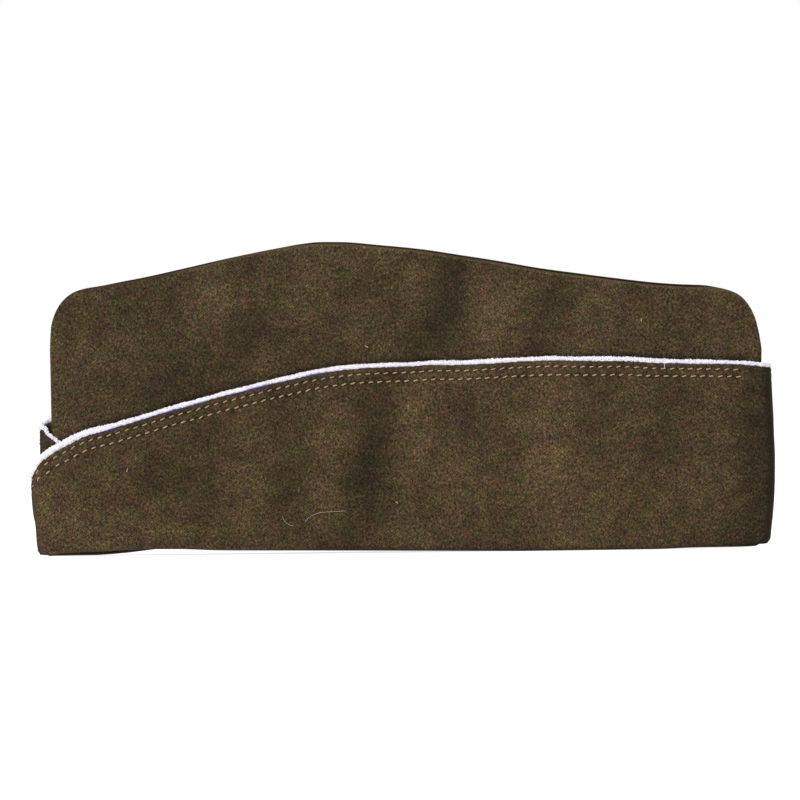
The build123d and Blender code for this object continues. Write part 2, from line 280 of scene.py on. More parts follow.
def strip(name, p, uv, shade=None, caps=()):
    """A closed shell through loops of points p[column, row, 3]. The first and last columns only shape the normals at the ends."""
    n = grid_normals(p)
    p, uv = p[1:-1], uv[1:-1]
    nc, nr = p.shape[:2]
    # the loop turns one way or the other; make the normals face out of the loop
    centre = p.mean(1, keepdims=True)
    if ((p - centre) * n).sum() < 0:
        n = -n
        flip = True
    else:
        flip = False
    verts = p.reshape(-1, 3)
    i, j = np.meshgrid(np.arange(nc - 1), np.arange(nr), indexing="ij")
    j2 = (j + 1) % nr
    a, b, c, d = i * nr + j, (i + 1) * nr + j, (i + 1) * nr + j2, i * nr + j2
    quads = np.stack([a, b, c, d] if not flip else [a, d, c, b], -1).reshape(-1, 4)
    u = uv.reshape(-1, 2)
    uvs = u[quads].reshape(-1, 2)
    # the row that closes the loop keeps its own place across the seam
    nn = n.reshape(-1, 3)[quads].reshape(-1, 3)
    faces = quads.tolist()
    first, last = list(range(nr)), [(nc - 1) * nr + k for k in range(nr)]
    if flip:
        last = last[::-1]
    else:
        first = first[::-1]
    for which, ring_, away in (("first", first, p[0].mean(0) - p[1].mean(0)), ("last", last, p[-1].mean(0) - p[-2].mean(0))):
        if which in caps:
            away = away / max(np.linalg.norm(away), 1e-9)
            faces.append(ring_)
            uvs = np.vstack([uvs, u[ring_]])
            nn = np.vstack([nn, np.tile(away, (nr, 1))])
    attrs = None if shade is None else {"shade": shade[1:-1].reshape(-1)}
    return new_object(name, verts, faces, nn, uvs, attrs)


def place(ob, side, part, *nodes, slot=None, other=False):
    """Bakes the transform of a front or rear piece into its mesh, or hangs any other piece under the body of that name,
    and hides the named CAD nodes.
    """
    if part == "front":
        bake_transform(ob)
    elif part == "rear":
        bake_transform(ob)
    else:
        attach(ob, part)
    if nodes:
        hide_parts(*nodes)
    return ob


def t_at(name, y):
    """The t of a ring at which it passes y."""
    ts = np.linspace(0, RINGS[name]["total"], 4000)
    return float(np.interp(y, y_of(name, ts), ts))


def columns(name, part, step, start=0.0):
    """t of each column of a piece, with one more column beyond each end."""
    cut = t_at(name, CUT)
    arc, total = RINGS[name]["arc"], RINGS[name]["total"]
    fold = 9 if arc > 5 else 7
    if part == "front":
        a = np.linspace(start, arc, fold + 1) if start < arc else np.array([start])
        b = np.linspace(arc, cut, int((cut - arc) / step) + 1)
        t = np.concatenate([a[:-1], b])
    else:
        b = np.linspace(cut, total - arc, int((total - arc - cut) / step) + 1)
        a = np.linspace(total - arc, total, fold + 1)
        t = np.concatenate([b, a[1:]])
    lo, hi = t[0] - (t[1] - t[0]), t[-1] + (t[-1] - t[-2])
    return np.concatenate([[lo], t, [hi]])


def shell_rows(n_wall, n_inner, lip=5):
    return n_wall, n_inner, lip


def layer(name, ring_name, side, part, step, z_low, z_high, d_out, d_in, n_wall=40, n_inner=None, lip=4, shade=None, top_zone=None, start=0.0,
          t_cols=None, roll=None, caps=()):
    """One quarter of a layer of cloth as a closed shell: an outer wall, a rounded top edge, an inner wall and a rounded bottom edge."""
    t = columns(ring_name, part, step, start) if t_cols is None else t_cols
    n_inner = n_inner or n_wall
    zt, zb = z_high(t), z_low(t)
    rows_t, rows_z, rows_d = [], [], []
    # fractions down the outer wall; a refined zone by the top edge when asked for
    for k in range(len(t)):
        do, di = d_out(t[k], np.array([zb[k], zt[k]])), d_in(t[k], np.array([zb[k], zt[k]]))
        half = abs(float(do.mean() - di.mean())) / 2
        top_r = min(half, 0.6)
        bot_r = min(half, 0.6)
        hi, lo = zt[k] - top_r, zb[k] + bot_r
        if top_zone:
            depth, m = top_zone
            depth = min(depth, 0.55 * (hi - lo))
            za = np.concatenate([np.linspace(hi, hi - depth, m, endpoint=False), np.linspace(hi - depth, lo, n_wall)])
        else:
            za = np.linspace(hi, lo, n_wall)
        zc = np.linspace(lo, hi, n_inner)
        f = np.linspace(0, np.pi, lip + 2)[1:-1]
        # outer wall down, bottom round in, inner wall up, top round out
        zz = np.concatenate([za, lo - bot_r * np.sin(f), zc, hi + top_r * np.sin(f)])
        ww = np.concatenate([np.ones(len(za)), (np.cos(f) + 1) / 2, np.zeros(len(zc)), (1 - np.cos(f)) / 2])
        rows_z.append(zz)
        rows_d.append(ww)
    z, w = np.array(rows_z), np.array(rows_d)
    tt = np.repeat(t[:, None], z.shape[1], 1)
    do, di = d_out(tt, z), d_in(tt, z)
    d = di + (do - di) * w
    if roll is not None:
        d = d + roll(tt, z, w)
    p = ring(ring_name, tt, z, d)
    p[..., 0] *= side
    uv = np.stack([tt * MM + (0.5 if side < 0 else 0.0), z * MM + (1 - w) * 0.2], -1)
    sh = None if shade is None else shade(tt, z)
    return strip(name, p, uv, shade=sh, caps=caps), p


# ------------------------------------------------------- offsets of the layers
def relief_at(side, name, t, z):
    y = y_of(name, np.abs(t))
    a, b = relief(1, y, z), relief(-1, y, z)
    here = np.where(np.asarray(t) < 0, -side, side)
    return np.where(here > 0, a, b)


def sec(side, t):
    """How much longer a step across the curtain's edge is straight down than square to the edge."""
    slope = (edge_z(side, t + 0.6) - edge_z(side, t - 0.6)) / 1.2
    return 1 + (np.sqrt(1 + np.clip(slope, -1.4, 1.4) ** 2) - 1) * smooth(1, 10, np.abs(t))


def lap_shift(side, t):
    """The left end of the curtain stands out over the right end at the front; the right end is tucked in."""
    t = np.asarray(t, float)
    tucked = -2.6 + 1.75 * smooth(0, 9, np.abs(t)) + 0.85 * smooth(9, 26, np.abs(t))
    if side > 0:
        over = np.maximum(0.0, 1.45 + tucked)
        return np.where(t >= 0, 1.0 * smooth(2, 14, t) * (1 - smooth(22, 50, t)), over)
    return np.where(t >= 0, tucked, TUCK(-t) - 5.3)


# outside of the right panel's end where it passes in under the left panel
TUCK = curve([(0, 2.7), (9, 2.78), (12, 2.95), (20, 3.35), (40, 3.45)])
PITCH = 3.5
ROWS = {"upper": 3.05, "lower": 6.35}


def row_depth(row, t):
    """Distance of a row of topstitching from the piping's centre, square to the edge."""
    y = y_of("curtain", np.abs(t))
    return ROWS[row] * (1 - (0.14 if row == "lower" else 0.1) * smooth(60, 135, y))


def stitched(side, t, z):
    """The dents of the topstitching in the curtain's outer cloth, and the soft swell between them."""
    c, k = edge_z(side, t), sec(side, t)
    out = 0
    for n, row in enumerate(ROWS):
        zr = c - row_depth(row, t) * k
        line = np.exp(-(((z - zr) / (0.62 * k)) ** 2))
        out = out - line * (0.17 + 0.13 * np.cos(2 * np.pi * (t / PITCH - 0.5 + 0.3 * n)))
    mid = c - (row_depth("upper", t) + row_depth("lower", t)) / 2 * k
    out = out + 0.12 * np.exp(-(((z - mid) / (1.0 * k)) ** 2))
    out = out + 0.10 * np.exp(-(((z - (c - 1.75 * k)) / (0.5 * k)) ** 2))
    y = y_of("curtain", np.abs(t))
    return out * (1 - 0.7 * smooth(128, 134, y))


def crown_d(side, base, wall=False):
    return lambda t, z: base + relief_at(side, "crown", t, z)


def curtain_d(side, base, stitches=False):
    def f(t, z):
        out = base + relief_at(side, "curtain", t, z) + lap_shift(side, t)
        if stitches:
            out = out + stitched(side, t, z)
        return out

    return f


# soft dark and light areas in the cloth's colour, partly mottling of the wool and partly painted shade and light of its
# soft rises and hollows: (y, z, half length, half width, tilt, amount)
SHADE_AND_MOTTLE_PATCHES = [
    (-101, 101, 9, 6, 50, -0.55), (-72, 82, 17, 6, 58, -0.75), (-92, 70, 9, 6, 40, -0.5), (-20, 103, 10, 7, 20, -0.5), (9, 100, 17, 5, 78, -0.95),
    (0, 84, 9, 5, 50, -0.5), (55, 103, 8, 6, 80, -0.5), (83, 103, 8, 6, 80, -0.5), (46, 87, 9, 6, 60, -0.45), (-9, 48, 14, 6, 80, -0.5),
    (-15, 27, 20, 6, 83, -0.75), (-30, 28, 14, 6, 85, 0.4), (-58, 19, 9, 5, 80, 0.4), (40, 22, 12, 6, 85, -0.35), (100, 45, 18, 6, 85, -0.35),
    (92, 78, 12, 6, 80, -0.4), (-120, 98, 8, 6, 30, -0.35), (-98, 32, 14, 7, 48, -0.55), (-80, 22, 9, 6, 45, -0.45), (-47, 24, 15, 6, 83, -0.8), (18, 55, 9, 7, 80, -0.4),
    (74, 52, 15, 6, 80, -0.6), (9, 22, 9, 6, 70, -0.5), (-85, 100, 9, 8, 70, 0.6), (-38, 103, 11, 9, 70, 0.45), (0, 104, 9, 7, 80, 0.6),
    (28, 92, 15, 7, 85, 0.65), (4, 49, 13, 7, 80, 0.6), (56, 36, 22, 7, 88, 0.55), (74, 103, 8, 6, 80, 0.4), (-62, 32, 12, 8, 60, 0.5),
    (74, 88, 17, 12, 0, 0.55), (72, 34, 32, 24, 0, 0.38), (-82, 29, 17, 16, 0, -0.3), (-116, 12, 20, 10, 0, 0.3), (-106, 80, 12, 14, 0, -0.2),
    (20, 30, 18, 20, 0, 0.2), (-94, 11, 10, 7, 20, 0.45), (-128, 24, 12, 22, 90, 0.35), (-118, 84, 10, 10, 60, 0.2), (118, 88, 9, 12, 90, -0.15), (126, 40, 8, 26, 90, -0.2),
]


# the 'shade' attribute of a side's wool: random mottling and wear, with painted shade and light at the folds, creases,
# stitching and soft rises
def shade_of(side, crown=False):
    noise = waves(31 + side, 22, 22, 70)

    def f(t, z):
        y = y_of("curtain", np.abs(t))
        yy, zz = (y, z) if side > 0 else (-y * 0.93 + 6, z)
        out = 0.22 * noise(y, z)
        for cy, cz, a, b, tilt, h in SHADE_AND_MOTTLE_PATCHES:
            c, s = math.cos(math.radians(tilt)), math.sin(math.radians(tilt))
            u, v = (yy - cy) * c + (zz - cz) * s, -(yy - cy) * s + (zz - cz) * c
            out = out + h * np.exp(-0.5 * ((u / a) ** 2 + (v / b) ** 2))
        out = out * (0.4 + 0.6 * smooth(-146, -136, y)) * (1 - 0.6 * smooth(130, 144, y))
        fade = 0.5 + 0.5 * noise(y * 4.0, z * 4.0)
        if crown:
            # the ridge is painted paler, partly worn nap and partly a painted highlight, stronger on the left side
            yc = y_of("crown", np.abs(t), 2.4)
            out = out + (1.25 if side > 0 else 0.5) * smooth(-1.3, -0.7, z - ridge_of(side, t)) * smooth(-100, -70, yc)
            e = (EDGE_L if side > 0 else EDGE_R)(yc) - 0.32
            # painted shadow in a band just above the piping
            out = out - 1.25 * np.exp(-(((z - e - 1.35) / 0.8) ** 2))
            # painted shade on the front and back end folds
            out = out - 1.5 * (1 - smooth(-137.9, -136.9, yc)) - 1.4 * smooth(138.4, 140.6, yc)
        else:
            zb = bottom_of(side, "curtain", t)
            y4 = y_of("curtain", np.abs(t), 4.6)
            out = out + 0.9 * (1 - smooth(0.7, 1.7, z - zb)) * np.clip(fade + 0.2, 0, 1) * smooth(-140, -130, y4) * (1 - smooth(-60, -30, y4))
            c, k = edge_z(side, t), sec(side, t)
            # painted shade in the dents of the topstitching, darkest in the gaps between stitches
            for n, row in enumerate(ROWS):
                zr = c - row_depth(row, t) * k
                gap = 0.62 + 0.38 * np.cos(2 * np.pi * (t / PITCH - 0.3 * n))
                out = out - 0.95 * gap * np.exp(-(((z - zr) / (0.62 * k)) ** 2)) * (1 - smooth(132, 135, y4))
            # darker along the bottom edge towards the back
            out = out - 0.75 * (1 - smooth(0.6, 1.8, z - zb)) * smooth(-40, 0, y4)
            # painted shade at the front fold and across the back fold
            out = out - 1.3 * (1 - smooth(-143.6, -142.4, y4)) - 0.4 * smooth(126, 133, y4) - 0.35 * smooth(133, 137, y4) - 0.8 * smooth(141, 144, y4)
        return np.clip(out, -1.75, 2.0)

    return f


def ridge_of(side, t):
    y = y_of("crown", np.abs(t), 2.4)
    return RIDGE(y) - (NEAR_DROP(y) if side > 0 else 0.0)


# ------------------------------------------------------------------ materials
def material(name):
    m = bpy.data.materials.new(name)
    m.use_nodes = True
    nt = m.node_tree
    nt.nodes.clear()
    out = nt.nodes.new("ShaderNodeOutputMaterial")
    b = nt.nodes.new("ShaderNodeBsdfPrincipled")
    nt.links.new(b.outputs[0], out.inputs[0])
    return m, nt, b


def uv_vector(nt, scale=1000.0, rotate=0.0, stretch=(1, 1, 1)):
    """The cloth's own flat coordinates in mm, so that the weave moves with the cloth."""
    uvn = nt.nodes.new("ShaderNodeUVMap")
    uvn.uv_map = "cloth"
    mp = nt.nodes.new("ShaderNodeMapping")
    mp.inputs["Scale"].default_value = [scale * s for s in stretch]
    mp.inputs["Rotation"].default_value = (0, 0, math.radians(rotate))
    nt.links.new(uvn.outputs[0], mp.inputs[0])
    return mp.outputs[0]


def noise(nt, vec, scale, detail=2.0, rough=0.55, distort=0.0):
    n = nt.nodes.new("ShaderNodeTexNoise")
    n.inputs["Scale"].default_value = scale
    n.inputs["Detail"].default_value = detail
    n.inputs["Roughness"].default_value = rough
    n.inputs["Distortion"].default_value = distort
    nt.links.new(vec, n.inputs["Vector"])
    return n.outputs["Fac"]


def ramp(nt, fac, stops):
    r = nt.nodes.new("ShaderNodeValToRGB")
    e = r.color_ramp.elements
    while len(e) < len(stops):
        e.new(0.5)
    for el, (p, c) in zip(e, stops):
        el.position = p
        el.color = (*c, 1) if len(c) == 3 else c
    nt.links.new(fac, r.inputs[0])
    return r.outputs[0]


def mix(nt, a, b, fac, mode="MIX"):
    n = nt.nodes.new("ShaderNodeMix")
    n.data_type = "RGBA"
    n.blend_type = mode
    n.clamp_result = False
    for sock, v in ((n.inputs[0], fac), (n.inputs[6], a), (n.inputs[7], b)):
        if hasattr(v, "links"):
            nt.links.new(v, sock)
        elif isinstance(v, (int, float)):
            sock.default_value = v
        else:
            sock.default_value = (*v, 1)
    return n.outputs[2]


def math_node(nt, op, a, b=None, c=None, clamp=False):
    n = nt.nodes.new("ShaderNodeMath")
    n.operation = op
    n.use_clamp = clamp
    for sock, v in zip(n.inputs, (a, b, c)):
        if v is None:
            continue
        if hasattr(v, "links"):
            nt.links.new(v, sock)
        else:
            sock.default_value = v
    return n.outputs[0]


def bump(nt, bsdf, height, strength, distance):
    b = nt.nodes.new("ShaderNodeBump")
    b.inputs["Strength"].default_value = strength
    b.inputs["Distance"].default_value = distance * MM
    nt.links.new(height, b.inputs["Height"])
    nt.links.new(b.outputs[0], bsdf.inputs["Normal"])


def wool(name, dark, mid, light, shade_gain=0.5, twill=0.5):
    m, nt, b = material(name)
    vec = uv_vector(nt)
    # twill lines, broken up by the nap
    tw = uv_vector(nt, rotate=52)
    w = nt.nodes.new("ShaderNodeTexWave")
    w.wave_type, w.bands_direction, w.wave_profile = "BANDS", "X", "SIN"
    w.inputs["Scale"].default_value = 0.36
    w.inputs["Distortion"].default_value = 2.6
    w.inputs["Detail"].default_value = 2.0
    w.inputs["Detail Scale"].default_value = 1.7
    nt.links.new(tw, w.inputs["Vector"])
    grain = noise(nt, vec, 1.02, 3.0, 0.7)
    fibre = noise(nt, uv_vector(nt, rotate=38, stretch=(1.0, 0.45, 1.0)), 1.8, 2.0, 0.6, 0.6)
    fine = noise(nt, vec, 4.2, 2.0, 0.6)
    broad = noise(nt, vec, 0.055, 3.0, 0.5)
    h = math_node(nt, "MULTIPLY_ADD", w.outputs["Fac"], 0.12 * twill, math_node(nt, "MULTIPLY_ADD", grain, 0.62, math_node(nt, "MULTIPLY", fibre, 0.42)))
    col = ramp(nt, h, [(0.42, dark), (0.54, mid), (0.64, tuple((2 * p + q) / 3 for p, q in zip(mid, light))), (0.74, light)])
    # each fibre is dyed a little greener or redder
    hue = noise(nt, vec, 0.62, 2.0, 0.7)
    tint = ramp(nt, hue, [(0.36, (0.92, 1.05, 0.92)), (0.5, (1.0, 1.0, 1.0)), (0.64, (1.10, 0.95, 0.98))])
    col = mix(nt, col, tint, 1.0, "MULTIPLY")
    slow = ramp(nt, broad, [(0.3, (0.84, 0.82, 0.86)), (0.7, (1.16, 1.17, 1.10))])
    col = mix(nt, col, slow, 1.0, "MULTIPLY")
    mottle = noise(nt, vec, 0.17, 4.0, 0.68)
    col = mix(nt, col, ramp(nt, mottle, [(0.36, (0.74, 0.74, 0.77)), (0.5, (1.0, 1.0, 1.0)), (0.64, (1.27, 1.26, 1.18))]), 1.0, "MULTIPLY")
    fleck = noise(nt, vec, 1.3, 2.0, 0.75)
    col = mix(nt, col, ramp(nt, fleck, [(0.37, (1.06, 0.98, 0.62)), (0.5, (1.0, 1.0, 1.0)), (0.63, (0.95, 1.01, 1.55))]), 1.0, "MULTIPLY")
    cloud = noise(nt, vec, 0.16, 2.0, 0.55)
    col = mix(nt, col, ramp(nt, cloud, [(0.36, (1.07, 0.92, 0.98)), (0.5, (1.0, 1.0, 1.0)), (0.64, (0.96, 1.08, 0.86))]), 1.0, "MULTIPLY")
    # the 'shade' attribute multiplies the colour: mottling and wear of the cloth, with painted shade and light in
    # places
    at = nt.nodes.new("ShaderNodeAttribute")
    at.attribute_name = "shade"
    shade = math_node(nt, "MULTIPLY_ADD", at.outputs["Fac"], shade_gain, 1.0)
    comb = nt.nodes.new("ShaderNodeCombineColor")
    for i in range(3):
        nt.links.new(shade, comb.inputs[i])
    col = mix(nt, col, comb.outputs[0], 1.0, "MULTIPLY")
    nt.links.new(col, b.inputs["Base Color"])
    rough = math_node(nt, "MULTIPLY_ADD", fine, -0.12, 1.0)
    nt.links.new(rough, b.inputs["Roughness"])
    b.inputs["Specular IOR Level"].default_value = 0.12
    b.inputs["Sheen Weight"].default_value = 0.06
    b.inputs["Sheen Roughness"].default_value = 0.55
    b.inputs["Sheen Tint"].default_value = (0.5, 0.38, 0.22, 1)
    hh = math_node(nt, "MULTIPLY_ADD", fine, 0.35, h)
    bump(nt, b, hh, 0.85, 0.34)
    return m


def braid(name, light, shadow, dirt=0.25):
    m, nt, b = material(name)
    vec = uv_vector(nt)
    w1, w2 = [], []
    waves_ = []
    for angle in (35, -35):
        w = nt.nodes.new("ShaderNodeTexWave")
        w.inputs["Scale"].default_value = 0.55
        w.inputs["Distortion"].default_value = 1.2
        w.inputs["Detail"].default_value = 1.5
        nt.links.new(uv_vector(nt, rotate=angle), w.inputs["Vector"])
        waves_.append(w.outputs["Fac"])
    weave = math_node(nt, "MAXIMUM", waves_[0], waves_[1])
    grime = noise(nt, vec, 0.9, 3.0, 0.65)
    specks = noise(nt, vec, 2.6, 2.0, 0.7)
    col = ramp(nt, weave, [(0.25, shadow), (0.8, light)])
    col = mix(nt, col, ramp(nt, grime, [(0.38, (0.80, 0.77, 0.86)), (0.6, (1, 1, 1))]), dirt * 2, "MULTIPLY")
    col = mix(nt, col, ramp(nt, specks, [(0.30, (0.42, 0.38, 0.48)), (0.42, (1, 1, 1))]), 0.7, "MULTIPLY")
    nt.links.new(col, b.inputs["Base Color"])
    nt.links.new(math_node(nt, "MULTIPLY_ADD", specks, -0.2, 0.95), b.inputs["Roughness"])
    b.inputs["Sheen Weight"].default_value = 0.15
    b.inputs["Specular IOR Level"].default_value = 0.3
    bump(nt, b, math_node(nt, "ADD", weave, specks), 0.8, 0.22)
    return m


def plain(name, dark, light, scale=1.6, weave=1.1, rough=0.9, depth=0.2, sheen=0.1):
    """A plain-woven cloth, tape or thread."""
    m, nt, b = material(name)
    hv = []
    for angle in (0, 90):
        w = nt.nodes.new("ShaderNodeTexWave")
        w.inputs["Scale"].default_value = weave
        w.inputs["Distortion"].default_value = 0.5
        nt.links.new(uv_vector(nt, rotate=angle), w.inputs["Vector"])
        hv.append(w.outputs["Fac"])
    h = math_node(nt, "MULTIPLY", hv[0], hv[1])
    n = noise(nt, uv_vector(nt), scale, 3.0, 0.6)
    col = ramp(nt, math_node(nt, "MULTIPLY_ADD", h, 0.4, math_node(nt, "MULTIPLY", n, 0.7)), [(0.25, dark), (0.75, light)])
    nt.links.new(col, b.inputs["Base Color"])
    nt.links.new(math_node(nt, "MULTIPLY_ADD", n, -0.15, rough), b.inputs["Roughness"])
    b.inputs["Sheen Weight"].default_value = sheen
    bump(nt, b, h, 0.5, depth)
    return m


def thread_material(name, dark, light):
    m, nt, b = material(name)
    w = nt.nodes.new("ShaderNodeTexWave")
    w.inputs["Scale"].default_value = 1.9
    w.inputs["Distortion"].default_value = 0.4
    nt.links.new(uv_vector(nt, rotate=40), w.inputs["Vector"])
    n = noise(nt, uv_vector(nt), 0.5, 2.0, 0.6)
    col = ramp(nt, math_node(nt, "MULTIPLY_ADD", w.outputs["Fac"], 0.5, math_node(nt, "MULTIPLY", n, 0.6)), [(0.2, dark), (0.8, light)])
    nt.links.new(col, b.inputs["Base Color"])
    nt.links.new(math_node(nt, "MULTIPLY_ADD", n, -0.2, 0.7), b.inputs["Roughness"])
    b.inputs["Sheen Weight"].default_value = 0.1
    bump(nt, b, w.outputs["Fac"], 0.6, 0.08)
    return m


def leather(name, dark, light):
    m, nt, b = material(name)
    vec = uv_vector(nt)
    v = nt.nodes.new("ShaderNodeTexVoronoi")
    v.inputs["Scale"].default_value = 0.9
    nt.links.new(vec, v.inputs["Vector"])
    n = noise(nt, vec, 0.12, 4.0, 0.6)
    f = noise(nt, vec, 2.5, 3.0, 0.6)
    col = ramp(nt, math_node(nt, "MULTIPLY_ADD", n, 0.8, math_node(nt, "MULTIPLY", f, 0.25)), [(0.3, dark), (0.75, light)])
    nt.links.new(col, b.inputs["Base Color"])
    nt.links.new(math_node(nt, "MULTIPLY_ADD", n, 0.3, 0.35), b.inputs["Roughness"])
    b.inputs["Coat Weight"].default_value = 0.1
    bump(nt, b, math_node(nt, "MULTIPLY_ADD", v.outputs["Distance"], 0.8, math_node(nt, "MULTIPLY", f, 0.3)), 0.5, 0.15)
    return m


MAT = {
    "crown": wool("wool_crown", (0.0085, 0.0058, 0.0032), (0.035, 0.0240, 0.0118), (0.135, 0.094, 0.046)),
    "curtain": wool("wool_curtain", (0.0090, 0.0060, 0.0032), (0.037, 0.0250, 0.0118), (0.140, 0.097, 0.046)),
    "inner_wool": wool("wool_inside", (0.0085, 0.0058, 0.0032), (0.030, 0.0205, 0.011), (0.10, 0.070, 0.036), shade_gain=0.0),
    "piping": braid("white_braid", (0.95, 0.92, 0.95), (0.46, 0.41, 0.53), dirt=0.45),
    "piping_core": plain("cotton_cord", (0.5, 0.47, 0.4), (0.75, 0.71, 0.62), weave=0.8),
    "flange": plain("violet_selvage", (0.007, 0.003, 0.030), (0.030, 0.013, 0.115), weave=1.6),
    "thread": thread_material("tan_thread", (0.17, 0.105, 0.050), (0.46, 0.31, 0.17)),
    "brown_thread": thread_material("brown_thread", (0.07, 0.045, 0.02), (0.20, 0.14, 0.07)),
    "lining": plain("brown_cotton", (0.065, 0.048, 0.026), (0.15, 0.115, 0.065), weave=1.3),
    "canvas": plain("canvas", (0.22, 0.18, 0.11), (0.42, 0.36, 0.25), weave=0.7),
    "leather": leather("brown_leather", (0.045, 0.020, 0.009), (0.125, 0.062, 0.028)),
    "tape": plain("cotton_tape", (0.10, 0.075, 0.04), (0.21, 0.165, 0.10), weave=1.0),
    "label": plain("label_cloth", (0.42, 0.38, 0.29), (0.68, 0.63, 0.52), weave=1.4),
}


def paint(ob, key):
    ob.data.materials.append(MAT[key])
    return ob


# --------------------------------------------------------------- the sewn pieces
SIDE_SIGNS = (1, -1)
PARTS = ("front", "rear")


def bottom_of(side, ring_name, t):
    y = y_of(ring_name, np.abs(t), 4.6 if ring_name == "curtain" else 2.4)
    return np.maximum((BOTTOM_L if side > 0 else BOTTOM_R)(np.clip(y, -138, 141.6)) - 0.35, 0.02)


for side in SIDE_SIGNS:
    s = SIDES[side]
    for part in PARTS:
        # crown side: the top edge rolls over towards the gusset
        def seam_groove(t, z, w, side=side):
            # the centre seams at the two folds pull the cloth in a little
            total = RINGS["crown"]["total"]
            near = np.minimum(np.abs(t), np.abs(total - t))
            return -0.30 * w * np.exp(-((near / 0.9) ** 2))

        ob, _ = layer(f"crown_side_{s}_{part}", "crown", side, part, 1.25, lambda t, side=side: bottom_of(side, "crown", t) + 1.35,
                      lambda t, side=side: ridge_of(side, t), crown_d(side, 2.45), crown_d(side, 1.15), n_wall=76, n_inner=30, lip=7,
                      shade=shade_of(side, True), top_zone=(3.0, 10), roll=seam_groove)
        paint(place(ob, side, part, f"crown_side_{s}", slot="crown_wool"), "crown")

        lining_top = curve([(-150, 82), (-128, 92), (-110, 96), (-85, 96), (-55, 96.6), (-25, 96.6), (10, 92.6), (45, 89.2),
                            (80, 89.4), (105, 91.6), (126, 91), (150, 82)])
        ob, _ = layer(f"lining_{s}_{part}", "crown", side, part, 4.0, lambda t, side=side: bottom_of(side, "crown", t) + 1.35,
                      lambda t: np.minimum(lining_top(y_of("crown", t, 1.0)), 78 + 0 * t + 40 * smooth(0, 14, np.minimum(t, RINGS["crown"]["total"] - t))),
                      crown_d(side, 1.1), crown_d(side, 0.85), n_wall=26, lip=3)
        paint(place(ob, side, part, f"lining_{s}", slot="lining_cotton"), "lining")

        ob, _ = layer(f"sweatband_{s}_{part}", "crown", side, part, 3.0, lambda t, side=side: bottom_of(side, "crown", t) + 1.3,
                      lambda t: 34.0 + 0 * t, crown_d(side, 0.8), crown_d(side, 0.0), n_wall=22, lip=5)
        paint(place(ob, side, part, f"sweatband_{s}", slot="sweatband_leather"), "leather")

        # the curtain's outer cloth, with its turn at the mouth
        def turn(t, z, w, side=side):
            zb = bottom_of(side, "curtain", t)
            low = 1 - smooth(zb + 0.2, zb + 3.2, z)
            # the outer wall rounds in at the bottom and the inner wall reaches in to the sweatband
            return -1.1 * low ** 2 * w - (2.6 * (1 - smooth(zb + 0.9, zb + 1.35, z))) * (1 - w)

        ob, _ = layer(f"curtain_outer_{s}_{part}", "curtain", side, part, PITCH / 5, lambda t, side=side: bottom_of(side, "curtain", t),
                      lambda t, side=side: edge_z(side, t) - 0.72 * sec(side, t), curtain_d(side, 5.3, True), curtain_d(side, 4.0),
                      n_wall=46, n_inner=16, lip=6, shade=shade_of(side), top_zone=(8.6, 24), roll=turn)
        paint(place(ob, side, part, f"curtain_outer_{s}", slot="curtain_wool"), "curtain")

        ob, _ = layer(f"curtain_facing_{s}_{part}", "curtain", side, part, 2.4, lambda t, side=side: bottom_of(side, "curtain", t) + 1.5,
                      lambda t, side=side: edge_z(side, t) - 0.80 * sec(side, t), curtain_d(side, 3.55), curtain_d(side, 2.75),
                      n_wall=30, lip=4)
        paint(place(ob, side, part, f"curtain_facing_{s}", slot="curtain_wool"), "inner_wool")

        ob, _ = layer(f"curtain_interlining_{s}_{part}", "curtain", side, part, 4.0, lambda t, side=side: bottom_of(side, "curtain", t) + 1.6,
                      lambda t, side=side: edge_z(side, t) - 9.6 * sec(side, t), curtain_d(side, 3.92), curtain_d(side, 3.62),
                      n_wall=14, lip=2)
        paint(place(ob, side, part, f"curtain_interlining_{s}", slot="interlining_canvas"), "canvas")

        ob, _ = layer(f"piping_flange_{s}_{part}", "curtain", side, part, 3.0, lambda t, side=side: edge_z(side, t) - 8.6 * sec(side, t),
                      lambda t, side=side: edge_z(side, t) - 0.8 * sec(side, t), curtain_d(side, 3.92), curtain_d(side, 3.62),
                      n_wall=8, lip=2)
        paint(place(ob, side, part, f"piping_flange_{s}", slot="piping_flange_cloth"), "flange")


